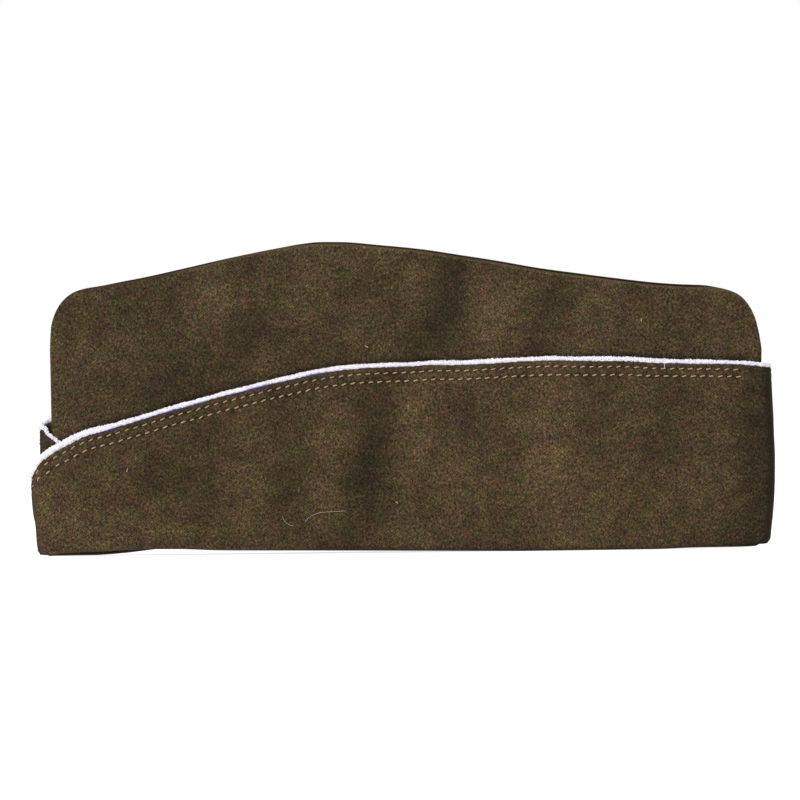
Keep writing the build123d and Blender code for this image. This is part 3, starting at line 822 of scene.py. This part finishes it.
# ----------------------------------------------------------------- tubes and threads
def sweep(name, path, radius, uv_v=0.0, sides=14, bumps=None, closed_ends=True, taper=None):
    """A tube along a path of points in mm. bumps(s, angle) adds to the radius; the path has no extra columns."""
    path = np.asarray(path, float)
    tan = np.gradient(path, axis=0)
    tan /= np.linalg.norm(tan, axis=1, keepdims=True)
    # a frame with one axis level and one upright, which a flat path allows
    up = np.tile(np.array([[0.0, 0.0, 1.0]]), (len(path), 1))
    side = np.cross(tan, up)
    side /= np.maximum(np.linalg.norm(side, axis=1, keepdims=True), 1e-9)
    up = np.cross(side, tan)
    s = np.concatenate([[0], np.cumsum(np.linalg.norm(np.diff(path, axis=0), axis=1))])
    ang = np.linspace(0, 2 * np.pi, sides, endpoint=False)
    r = np.broadcast_to(np.asarray(radius, float), (len(path),))[:, None] * np.ones((1, sides))
    if bumps is not None:
        r = r + bumps(s[:, None], ang[None, :])
    if taper:
        end = np.minimum(s, s[-1] - s)
        r = r * np.sqrt(np.clip(1 - (1 - np.clip(end / taper, 0, 1)) ** 2, 0.02, 1))[:, None]
    p = path[:, None, :] + r[..., None] * (np.cos(ang)[None, :, None] * side[:, None, :] + np.sin(ang)[None, :, None] * up[:, None, :])
    n, m = p.shape[:2]
    verts = p.reshape(-1, 3)
    i, j = np.meshgrid(np.arange(n - 1), np.arange(m), indexing="ij")
    j2 = (j + 1) % m
    faces = np.stack([i * m + j, i * m + j2, (i + 1) * m + j2, (i + 1) * m + j], -1).reshape(-1, 4)
    us = s[i] * MM, s[i + 1] * MM
    step = 2 * np.pi * float(np.mean(r)) / m
    v0, v1 = uv_v + j * step * MM, uv_v + (j + 1) * step * MM
    uvs = np.stack([np.stack([us[0], v0], -1), np.stack([us[0], v1], -1), np.stack([us[1], v1], -1), np.stack([us[1], v0], -1)], 2).reshape(-1, 2)
    faces = faces.tolist()
    if closed_ends:
        faces.append(list(range(m))[::-1])
        faces.append([(n - 1) * m + k for k in range(m)])
        uvs = np.vstack([uvs, np.zeros((2 * m, 2))])
    return new_object(name, verts, faces, uvs=uvs)


def outward(side, t, z, d, name="curtain"):
    """A point of the ring with the side's relief and lap added, and with +X on the wearer's left."""
    p = ring(name, t, z, d + relief_at(side, name, t, z) + (lap_shift(side, t) if name == "curtain" else 0.0))
    p[..., 0] *= side
    return p


def braid_bumps(seed, size=0.15):
    r = np.random.default_rng(seed)
    ph = r.uniform(0, 6.28, 6)
    # ragged fibres, repeating after 96 mm
    table = r.normal(0, 1, (400, 16))
    table = (table + 0.7 * np.roll(table, 1, 0) + 0.5 * np.roll(table, 1, 1)) / 1.3

    def f(s, a):
        strands = np.maximum(np.cos(2 * a + s * 2 * np.pi / 3.1 + ph[0]), np.cos(2 * a - s * 2 * np.pi / 3.1 + ph[1]))
        ragged = 0.5 * np.sin(s * 5.1 + 3 * np.sin(s * 0.9 + ph[2]) + a + ph[3]) + 0.5 * np.sin(s * 9.3 + 2 * a + ph[4] + 2 * np.sin(s * 1.7))
        row = np.round(s / 0.24).astype(int)[:, 0] % 400
        return size * (0.6 * strands + 0.5 * ragged) + 0.12 * table[row]

    return f


def pipe_radius(side, t):
    y = y_of("curtain", np.abs(t))
    front = 1 - smooth(-122, -103, y)
    back = smooth(112, 136, y)
    wobble = 0.06 * np.sin(t * 0.31 + 1.0) + 0.05 * np.sin(t * 0.83) + 0.05 * np.sin(t * 0.11 + side)
    front = 0.50 * front * smooth(-6, 0, t) if side > 0 else -0.06 * front
    return 0.90 + front - 0.20 * back + wobble * (1 - 1.2 * np.abs(front))


def piping_path(side, t, out=4.55):
    return outward(side, t, edge_z(side, t), out)


def fibres(name, anchors, seed, length=(0.6, 1.4), radius=0.035):
    """Loose fibre ends that stand off the braid: short bent hairs, one mesh."""
    r = np.random.default_rng(seed)
    verts, faces, uvs = [], [], []
    for a, n in anchors:
        d = n + r.normal(0, 0.55, 3)
        d /= np.linalg.norm(d)
        side_ = np.cross(d, r.normal(0, 1, 3))
        side_ /= np.linalg.norm(side_)
        up_ = np.cross(side_, d)
        L = r.uniform(*length)
        bend = r.normal(0, 0.35, 3)
        base = len(verts)
        for k in range(4):
            f = k / 3
            c = a + d * L * f + bend * L * f * f
            rr = radius * (1 - 0.6 * f)
            for q in range(3):
                an = 2 * np.pi * q / 3
                verts.append(c + rr * (math.cos(an) * side_ + math.sin(an) * up_))
        for k in range(3):
            for q in range(3):
                q2 = (q + 1) % 3
                faces.append([base + 3 * k + q, base + 3 * k + q2, base + 3 * k + 3 + q2, base + 3 * k + 3 + q])
                uvs += [(0.001 * k, 0.0003 * q), (0.001 * k, 0.0003 * q2), (0.001 * k + 0.001, 0.0003 * q2), (0.001 * k + 0.001, 0.0003 * q)]
        faces.append([base, base + 2, base + 1])
        faces.append([base + 9, base + 10, base + 11])
        uvs += [(0, 0)] * 6
    return new_object(name, verts, faces, uvs=uvs)


def bar_stitches(name, centres, along, out, length, radius, slant=0.0, seed=0, sink=0.45, arch=0.30):
    """Separate stitches of thick thread as one mesh: each comes up out of the cloth, lies on it and goes back in."""
    r = np.random.default_rng(seed)
    verts, faces, uvs = [], [], []
    ns, m = 9, 7
    for c, a, o in zip(centres, along, out):
        a = a / np.linalg.norm(a)
        o = o / np.linalg.norm(o)
        b = np.cross(o, a)
        b = b if b[2] > 0 else -b
        an = math.radians(slant + r.normal(0, 3.5))
        a2 = a * math.cos(an) + b * math.sin(an)
        b2 = np.cross(o, a2)
        L, rad = length * r.uniform(0.93, 1.07), radius * r.uniform(0.9, 1.1)
        base = len(verts)
        for k in range(ns):
            f = -1 + 2 * k / (ns - 1)
            pos = c + a2 * (f * L / 2) + o * (arch * (1 - f ** 2) - sink * abs(f) ** 4 - 0.02) + b2 * (0.03 * math.sin(3 * f + r.uniform(-0.2, 0.2)))
            rr = rad * (1 - 0.25 * f ** 4)
            for q in range(m):
                t = 2 * np.pi * q / m
                twist = 1 + 0.12 * math.cos(2 * t + 5.5 * f * L)
                verts.append(pos + rr * twist * (math.cos(t) * b2 + math.sin(t) * o))
        for k in range(ns - 1):
            for q in range(m):
                q2 = (q + 1) % m
                faces.append([base + m * k + q, base + m * k + q2, base + m * k + m + q2, base + m * k + m + q])
                u0, u1 = k * L / ns * MM, (k + 1) * L / ns * MM
                v0, v1 = q * 0.2 * MM, (q + 1) * 0.2 * MM
                off = (base * 0.00037) % 0.05
                uvs += [(u0 + off, v0), (u0 + off, v1), (u1 + off, v1), (u1 + off, v0)]
        faces.append([base + q for q in range(m)][::-1])
        faces.append([base + m * (ns - 1) + q for q in range(m)])
        uvs += [(0, 0)] * (2 * m)
    return new_object(name, verts, faces, uvs=uvs)


def fix_normals(ob):
    """Faces of a closed mesh all point out."""
    bm = bmesh.new()
    bm.from_mesh(ob.data)
    bmesh.ops.recalc_face_normals(bm, faces=bm.faces)
    bm.to_mesh(ob.data)
    bm.free()
    return ob


def piece_ts(side, part, step, start=0.0):
    return columns("curtain", part, step, start)[1:-1]


for side in SIDE_SIGNS:
    s = SIDES[side]
    for part in PARTS:
        # the white braid of the piping, a fraction past the cut so that its two lengths butt tightly
        t = piece_ts(side, part, 0.24)
        fold = np.linspace(0, ARC, 40)
        if part == "front":
            t = np.concatenate([fold[:-1], t[t >= ARC]])
        else:
            t = np.concatenate([t[t <= TOTAL - ARC], (TOTAL - fold)[::-1][1:]])
        ob = sweep(f"piping_{s}_{part}", piping_path(side, t), pipe_radius(side, t), sides=16, bumps=braid_bumps(40 + side), uv_v=0.01 * side)
        paint(place(fix_normals(ob), side, part, f"piping_{s}", slot="piping_braid"), "piping")

        tc = t[::6] if (len(t) - 1) % 6 == 0 else np.append(t[::6], t[-1])
        ob = sweep(f"piping_cord_{s}_{part}", piping_path(side, tc), 0.5, sides=8)
        paint(place(fix_normals(ob), side, part, f"piping_cord_{s}", slot="piping_core"), "piping_core")

        # loose fibres of the braid
        r = np.random.default_rng(60 + side + (5 if part == "front" else 0))
        span = (t[0], t[-1])
        tf = r.uniform(span[0] + 0.5, span[1] - 0.5, int(abs(span[1] - span[0]) * 1.5))
        an = r.uniform(-0.8, 3.6, len(tf))
        c = piping_path(side, tf)
        o = outward(side, tf, edge_z(side, tf), 5.55) - c
        o /= np.linalg.norm(o, axis=1, keepdims=True)
        up = np.array([0, 0, 1.0])
        n = o * np.sin(an + 0.6)[:, None] + up * np.cos(an + 0.6)[:, None]
        n = np.where((n * o).sum(1, keepdims=True) < -0.1, o, n)
        ob = fibres(f"piping_fibres_{s}_{part}", list(zip(c + n * 0.9 * pipe_radius(side, tf)[:, None], n)), 70 + side)
        paint(place(fix_normals(ob), side, part, f"piping_{s}", slot="piping_braid"), "piping")

        # the violet edge of the flange that shows below the braid
        tv = piece_ts(side, part, 0.5)
        y = y_of("curtain", tv)
        show = smooth(-131, -124, y) * (1 - 0.75 * smooth(-40, -14, y)) * (1 - smooth(30, 50, y)) + 0.25 * smooth(56, 66, y) * (1 - smooth(106, 120, y))
        show = show if side > 0 else 0.3 + 0 * y
        show = show * np.clip(0.72 + 0.35 * np.sin(tv * 0.21 + 1.3) + 0.3 * np.sin(tv * 0.57), 0.15, 1.1)
        rr = 0.20 + 0.26 * show
        low = 0.88 + 0.36 * show
        ob = sweep(f"piping_flange_edge_{s}_{part}", outward(side, tv, edge_z(side, tv) - low * sec(side, tv), 4.75 + 0.42 * show), rr, sides=8,
                   bumps=lambda s_, a: 0.05 * np.sin(s_ * 4 + a) + 0.04 * np.sin(s_ * 9.1 - a), taper=0.8)
        paint(place(fix_normals(ob), side, part, f"piping_flange_{s}", slot="piping_flange_cloth"), "flange")

        # topstitching: two rows of separate stitches
        for row in ROWS:
            k0, k1 = math.ceil((t[0] + 0.3) / PITCH + 0.5), math.floor((t[-1] - 0.3) / PITCH + 0.5)
            tk = (np.arange(k0, k1 + 1) - 0.5 + (0.3 if row == "lower" else 0.0)) * PITCH
            tk = tk[(tk > t[0] + 1.0) & (tk < t[-1] - 1.0)]
            # the rows stop short of the back seam
            tk = tk[y_of("curtain", tk) < 133.0]
            zk = edge_z(side, tk) - row_depth(row, tk) * sec(side, tk)
            c = outward(side, tk, zk, 5.3 + stitched(side, tk, zk) + 0.05)
            zf = edge_z(side, tk + 0.5) - row_depth(row, tk + 0.5) * sec(side, tk + 0.5)
            zn = edge_z(side, tk - 0.5) - row_depth(row, tk - 0.5) * sec(side, tk - 0.5)
            along = outward(side, tk + 0.5, zf, 5.3) - outward(side, tk - 0.5, zn, 5.3)
            out = outward(side, tk, zk, 6.3) - outward(side, tk, zk, 5.3)
            ob = bar_stitches(f"topstitch_{row}_{s}_{part}", c, along, out, 2.35 if row == "upper" else 2.1, 0.225 if row == "upper" else 0.25, slant=9, seed=80 + len(row) + side)
            paint(place(fix_normals(ob), side, part, f"topstitch_{row}_{s}", slot="topstitch_thread"), "thread")

        # the stitches that hold the sweatband
        t2 = columns("crown", part, 2.0)[1:-1]
        tk = np.arange(t2[0] + 1.6, t2[-1] - 1.0, 3.2)
        zk = np.full(len(tk), 4.0)
        c = outward(side, tk, zk, -0.04, "crown")
        along = outward(side, tk + 0.4, zk, 0, "crown") - outward(side, tk - 0.4, zk, 0, "crown")
        out = outward(side, tk, zk, -1.0, "crown") - outward(side, tk, zk, 0.0, "crown")
        ob = bar_stitches(f"sweatband_stitch_{s}_{part}", c, along, out, 2.1, 0.16, seed=90 + side, sink=0.3, arch=0.10)
        paint(place(fix_normals(ob), side, part, f"sweatband_stitch_{s}", slot="sweatband_thread"), "brown_thread")

# size label: a small cloth flap stitched to the right lining
label_t = np.linspace(t_at("crown", 62), t_at("crown", 90), 18)
ob, _ = layer("size_label", "crown", -1, "rear", 1.5, lambda t: 40.0 + 0 * t, lambda t: 54.0 + 0 * t, crown_d(-1, 0.82), crown_d(-1, 0.56),
              n_wall=10, lip=3, t_cols=label_t, caps=("first", "last"))
paint(place(ob, -1, "rear", "size_label", slot="label_cloth"), "label")
for edge_at, z_at in ((40.9, "low"), (53.1, "high")):
    tk = np.arange(label_t[2] + 1, label_t[-3], 2.2)
    zk = np.full(len(tk), edge_at)
    c = outward(-1, tk, zk, 0.52, "crown")
    along = outward(-1, tk + 0.4, zk, 0.5, "crown") - outward(-1, tk - 0.4, zk, 0.5, "crown")
    out = outward(-1, tk, zk, -0.5, "crown") - outward(-1, tk, zk, 0.5, "crown")
    ob = bar_stitches(f"size_label_stitch_{z_at}", c, along, out, 1.3, 0.11, seed=97, sink=0.2, arch=0.08)
    paint(place(fix_normals(ob), -1, "rear", "size_label", slot="label_cloth"), "thread")

# ---------------------------------------------- the lapped ends of the curtain at the front
def rounded(side):
    def f(t, z, w):
        zb = bottom_of(side, "curtain", t)
        return -0.9 * (1 - smooth(zb + 0.2, zb + 2.2, z)) ** 2 * w

    return f


for side, reach in ((1, 22.0), (-1, 34.0)):
    s = SIDES[side]
    t = np.concatenate([-np.linspace(reach, ARC, int((reach - ARC) / 0.8) + 1), -np.linspace(ARC, 0, 15)[1:]])
    t = np.concatenate([[t[0] - 0.8], t, [0.6]])
    ob, _ = layer(f"curtain_outer_{s}_lap", "curtain", side, "front", 0.8, lambda t, side=side: bottom_of(side, "curtain", t) + (0.0 if side > 0 else 1.5),
                  lambda t, side=side: edge_z(side, t) - 0.72 * sec(side, t), curtain_d(side, 5.3, side > 0), curtain_d(side, 4.0), n_wall=40, n_inner=16,
                  lip=6, shade=shade_of(side), top_zone=(8.6, 24), t_cols=t, roll=rounded(side), caps=("first",))
    paint(place(ob, side, "front", f"curtain_outer_{s}", slot="curtain_wool", other=True), "curtain")
    tp = -np.linspace(0, reach - (0.4 if side > 0 else 16.0), 120)
    ob = sweep(f"piping_{s}_lap", piping_path(side, tp), pipe_radius(side, tp), sides=16, bumps=braid_bumps(40 + side), uv_v=0.01 * side, taper=0.0)
    paint(place(fix_normals(ob), side, "front", f"piping_{s}", slot="piping_braid", other=True), "piping")
    r = np.random.default_rng(140 + side)
    tf = -r.uniform(0.2, reach * 0.6, 30)
    c = piping_path(side, tf)
    n = outward(side, tf, edge_z(side, tf), 5.55) - c + r.normal(0, 0.5, c.shape)
    n /= np.linalg.norm(n, axis=1, keepdims=True)
    ob = fibres(f"piping_fibres_{s}_lap", list(zip(c + n, n)), 170 + side)
    paint(place(fix_normals(ob), side, "front", f"piping_{s}", slot="piping_braid", other=True), "piping")
    if side > 0:
        for row in ROWS:
            tk = -(np.arange(0, 8) + 0.5 - (0.3 if row == "lower" else 0.0)) * PITCH
            tk = tk[(tk > -reach + (6.0 if row == "lower" else 3.4)) & (tk < -0.9)]
            zk = edge_z(side, tk) - row_depth(row, tk) * sec(side, tk)
            c = outward(side, tk, zk, 5.3 + stitched(side, tk, zk) + 0.05)
            zf = edge_z(side, tk + 0.5) - row_depth(row, tk + 0.5) * sec(side, tk + 0.5)
            zn = edge_z(side, tk - 0.5) - row_depth(row, tk - 0.5) * sec(side, tk - 0.5)
            along = outward(side, tk + 0.5, zf, 5.3) - outward(side, tk - 0.5, zn, 5.3)
            out = outward(side, tk, zk, 6.3) - outward(side, tk, zk, 5.3)
            ob = bar_stitches(f"topstitch_{row}_{s}_lap", c, along, out, 2.2, 0.24, slant=9, seed=180 + len(row))
            paint(place(fix_normals(ob), side, "front", f"topstitch_{row}_{s}", slot="topstitch_thread", other=True), "thread")

# ------------------------------------------- the gusset, folded down between the sides
SEAM = curve([(-127, 101.2), (-110, 99.6), (-85, 98.2), (-55, 98.6), (-25, 98.6), (10, 95.2), (45, 91.9), (80, 92.0), (105, 95.4), (125.5, 99.6)])
CT, CA = RINGS["crown"]["total"], RINGS["crown"]["arc"]
gt = np.concatenate([np.linspace(0.05, CA, 16)[:-1], np.linspace(CA, CT - CA, 190), np.linspace(CT - CA, CT - 0.05, 16)[1:]])
gy = ring("crown", gt, 95.0, 1.3)[..., 1]
for side in SIDE_SIGNS:
    s = SIDES[side]
    top = ridge_of(side, gt) - 0.12
    low = np.minimum(SEAM(gy), top - 3.2)
    n_wall, n_lip = 22, 7
    wob = waves(200 + side, 10, 10, 40)
    rows = []
    f = np.linspace(0, 1, n_wall)
    for part_ in ("in", "lip", "out", "foot"):
        if part_ == "in":
            z = low[:, None] + (top - 0.45 - low)[:, None] * f[None, :]
            w = np.zeros_like(z)
        elif part_ == "lip":
            a = np.linspace(0, np.pi, n_lip + 2)[1:-1]
            z = (top - 0.45)[:, None] + 0.45 * np.sin(a)[None, :]
            w = np.repeat(((1 - np.cos(a)) / 2)[None, :], len(gy), 0)
        elif part_ == "out":
            z = low[:, None] + (top - 0.45 - low)[:, None] * f[::-1][None, :]
            w = np.ones_like(z)
        else:
            a = np.linspace(0, np.pi, 5)[1:-1]
            z = low[:, None] - 0.25 * np.sin(a)[None, :]
            w = np.repeat(((1 + np.cos(a)) / 2)[None, :], len(gy), 0)
        rows.append((z, w))
    z = np.concatenate([r_[0] for r_ in rows], 1)
    w = np.concatenate([r_[1] for r_ in rows], 1)
    yy = np.repeat(gy[:, None], z.shape[1], 1)
    up = np.clip((z - low[:, None]) / (top - low)[:, None], 0, 1)
    end = np.clip(1 - (yy / 127.0) ** 2, 0, 1)
    inner = 0.05 + 1.55 * up ** 1.2 * end + 0.12 * wob(yy, z) * up * end
    # at the two corners the halves meet along the crown's fold
    inner = np.maximum(inner, 0.04) - 0.036 * smooth(121, 127, np.abs(yy))
    tt = np.repeat(gt[:, None], z.shape[1], 1)
    against = np.maximum(np.abs(ring("crown", tt, z, 1.15)[..., 0]) - 0.04, 0.06)
    outer = np.minimum(inner + 1.2, against)
    outer = outer + (against - outer) * np.maximum(smooth(0.72, 0.97, up), 1 - smooth(0.6, 1.5, top[:, None] - z))
    outer = np.maximum(outer, inner + 0.05)
    x = inner + (outer - inner) * w
    p = np.stack([x * side, yy, z], -1)
    uv = np.stack([yy * MM + 0.9, (z + x * 0.6) * MM + (0.3 if side < 0 else 0)], -1)
    # painted shade darkens the folded-in cloth in the valley between the ridges, which is also a little less faded
    ob = strip(f"crown_top_{s}_cloth", p, uv, shade=-1.45 * np.ones_like(x), caps=())
    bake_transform(ob)
    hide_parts(f"crown_top_{s}")
    paint(ob, "crown")

def hair(name, side, ring_name, d, y0, z0, points, part, slot, key="label", radius=0.07):
    """A loose fibre lying on the cloth: points are (y, z) steps from (y0, z0)."""
    pts = np.array(points, float)
    k = np.linspace(0, len(pts) - 1, 6 * len(pts))
    yy = y0 + np.interp(k, np.arange(len(pts)), pts[:, 0])
    zz = z0 + np.interp(k, np.arange(len(pts)), pts[:, 1])
    yy, zz = (np.convolve(np.pad(v, 3, mode="edge"), np.ones(7) / 7, "valid") for v in (yy, zz))
    ts = np.linspace(0, RINGS[ring_name]["total"], 4000)
    tt = np.interp(yy, y_of(ring_name, ts), ts)
    path = outward(side, tt, zz, d + 0.12 + 0.1 * np.sin(k * 1.1), ring_name)
    ob = sweep(name, path, radius, sides=5, taper=0.3)
    place(fix_normals(ob), side, part, slot=slot)
    return paint(ob, key)


hair("lint_crown_front", 1, "crown", 2.45, -14.2, 81.0, [(0, 0), (0.5, -0.4), (1.1, -0.5), (1.3, -1.1)], "rear", "crown_wool", radius=0.11)
hair("lint_crown_back", 1, "crown", 2.45, 94.0, 90.5, [(0, 0), (0.3, -0.9), (0.1, -1.7)], "rear", "crown_wool", radius=0.09)
hair("lint_curtain_middle", 1, "curtain", 5.3, -3.0, 20.0, [(0, 0), (0.7, -0.3), (1.2, -1.0)], "rear", "curtain_wool", radius=0.09)
hair("lint_curtain_front", 1, "curtain", 5.3, -107.5, 32.5, [(0, 0), (0.5, 0.9), (0.6, 1.8)], "front", "curtain_wool", radius=0.08)
hair("hair_curtain_curl", 1, "curtain", 5.3, -47.0, 15.2, [(0, 0), (0.8, -2.2), (2.4, -3.7), (4.6, -4.3)], "front", "curtain_wool", key="label", radius=0.05)
hair("hair_curtain_long", 1, "curtain", 5.3, -38.5, 11.8, [(0, 0), (2.4, 3.0), (6.6, 4.4), (11.6, 4.5), (17.2, 4.8)], "front", "curtain_wool", key="label", radius=0.05)
hair("fibre_piping_back", 1, "curtain", 5.3, 102.8, 72.9, [(0, 0), (0.15, -0.8), (-0.1, -1.6), (0.2, -2.3)], "rear", "piping_braid", key="piping", radius=0.10)

ty = np.linspace(-122.0, 121.0, 140)
a = np.linspace(0, 2 * np.pi, 20, endpoint=False)
sect = np.stack([1.25 * np.sign(np.cos(a)) * np.abs(np.cos(a)) ** 0.35, 0.22 * np.sign(np.sin(a)) * np.abs(np.sin(a)) ** 0.6], -1)
zc = SEAM(ty) - 0.62
p = np.stack([np.repeat(sect[None, :, 0], len(ty), 0), np.repeat(ty[:, None], 20, 1), zc[:, None] + sect[None, :, 1]], -1)
uv = np.stack([p[..., 1] * MM, p[..., 0] * MM], -1)
ob = strip("crown_top_seam_tape_cloth", p, uv, caps=("first", "last"))
place(ob, 1, "crown_top", "crown_top_seam_tape", slot="seam_tape_cotton")
paint(ob, "tape")

# ---------------------------------------------------------------- stage, light, camera
def look(name, loc, target, size, energy, color=(1, 1, 1)):
    li = bpy.data.lights.new(name, "AREA")
    li.shape, li.size, li.size_y, li.energy, li.color = "RECTANGLE", size[0], size[1], energy, color
    ob = bpy.data.objects.new(name, li)
    ob.location = loc
    ob.rotation_euler = (Vector(target) - Vector(loc)).to_track_quat("-Z", "Y").to_euler()
    bpy.context.scene.collection.objects.link(ob)
    return ob


bpy.ops.mesh.primitive_circle_add(vertices=96, radius=12.0, fill_type="NGON", location=(0, 0, 0))
floor = bpy.context.object
floor.name = "floor"
m, nt, b = material("floor_white")
b.inputs["Base Color"].default_value = (0.40, 0.40, 0.405, 1)
b.inputs["Emission Color"].default_value = (1.0, 1.0, 1.0, 1)
b.inputs["Emission Strength"].default_value = 0.74
b.inputs["Roughness"].default_value = 0.9
b.inputs["Specular IOR Level"].default_value = 0.1
floor.data.materials.append(m)

world = bpy.data.worlds.new("studio")
bpy.context.scene.world = world
world.use_nodes = True
world.node_tree.nodes["Background"].inputs["Color"].default_value = (1.0, 1.0, 1.0, 1)
world.node_tree.nodes["Background"].inputs["Strength"].default_value = 1.0
look("key", (1.5, -1.6, 1.5), (0, 0, 0.06), (0.9, 0.9), 42, (1.0, 0.985, 0.96))
look("fill", (1.4, 1.8, 0.9), (0, 0, 0.06), (1.2, 1.2), 6, (0.92, 0.95, 1.0))
look("back", (-1.8, 0.8, 1.5), (0, 0, 0.06), (1.2, 1.2), 16)

cam_data = bpy.data.cameras.new("camera")
cam = bpy.data.objects.new("camera", cam_data)
bpy.context.scene.collection.objects.link(cam)
DIST = 2.4
cam_data.sensor_width = 36.0
cam_data.lens = 36.0 * DIST / (800 * 0.39 * MM)
cam_data.clip_end = 60
cam.matrix_world = (
    Matrix.Translation((DIST + 0.012, -0.63 * MM, 59.5 * MM)) @ Matrix.Rotation(math.radians(90), 4, "Z")
    @ Matrix.Rotation(math.radians(90), 4, "X") @ Matrix.Rotation(math.radians(-0.7), 4, "Z")
)
bpy.context.scene.camera = cam
bpy.context.scene.view_settings.view_transform = "Standard"

bpy.context.view_layer.update()
